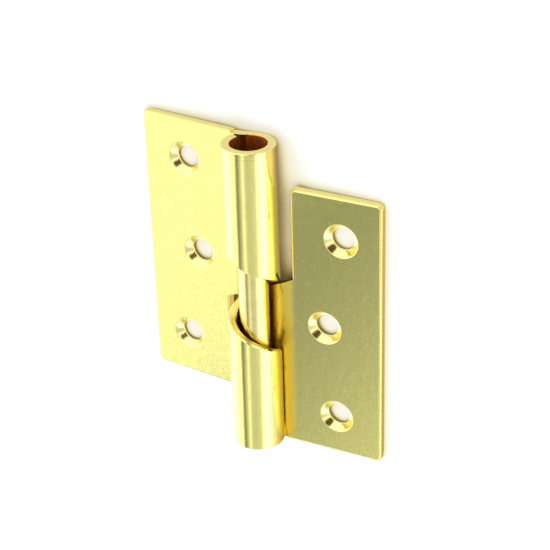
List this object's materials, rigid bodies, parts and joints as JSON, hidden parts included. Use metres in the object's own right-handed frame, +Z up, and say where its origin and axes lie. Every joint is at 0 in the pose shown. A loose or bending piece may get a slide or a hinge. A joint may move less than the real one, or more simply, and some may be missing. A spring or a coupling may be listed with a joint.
{
  "type": "rising butt hinge",
  "caption": "Brass-plated pressed-steel rising butt hinge: leaves rolled round a pin, with helical ramps that lift the door leaf as it opens.",
  "frame": {"origin": "on the pin's axis, level with the bottom edge of the frame leaf", "axes": "+Z up along the pin, +X out along the frame leaf, -Y out of the countersunk face of the frame leaf"},
  "size_m": [0.069, 0.0157, 0.0886],
  "materials": {
    "leaf_brass": "bright brass plating on pressed steel, polished on the knuckles and satin on the leaves",
    "pin_brass": "bright brass plating, drawn along its length"
  },
  "bodies": {
    "frame_leaf": {"frame_leaf": "leaf_brass"},
    "hinge_pin": {"hinge_pin": "pin_brass"},
    "door_leaf": {"door_leaf": "leaf_brass"}
  },
  "joints": [
    {"name": "swing", "type": "hinge", "parent": "frame_leaf", "child": "hinge_pin", "pos_m": [0, 0, 0], "axis": [0, 0, 1], "range_deg": [0, 186.5]},
    {"name": "rise", "type": "slide", "parent": "hinge_pin", "child": "door_leaf", "axis": [0, 0, 1], "range_m": [-0.01044, 0]}
  ],
  "couplings": [
    {"joint": "rise", "follows": "swing", "m_per_rad": -0.003207}
  ]
}
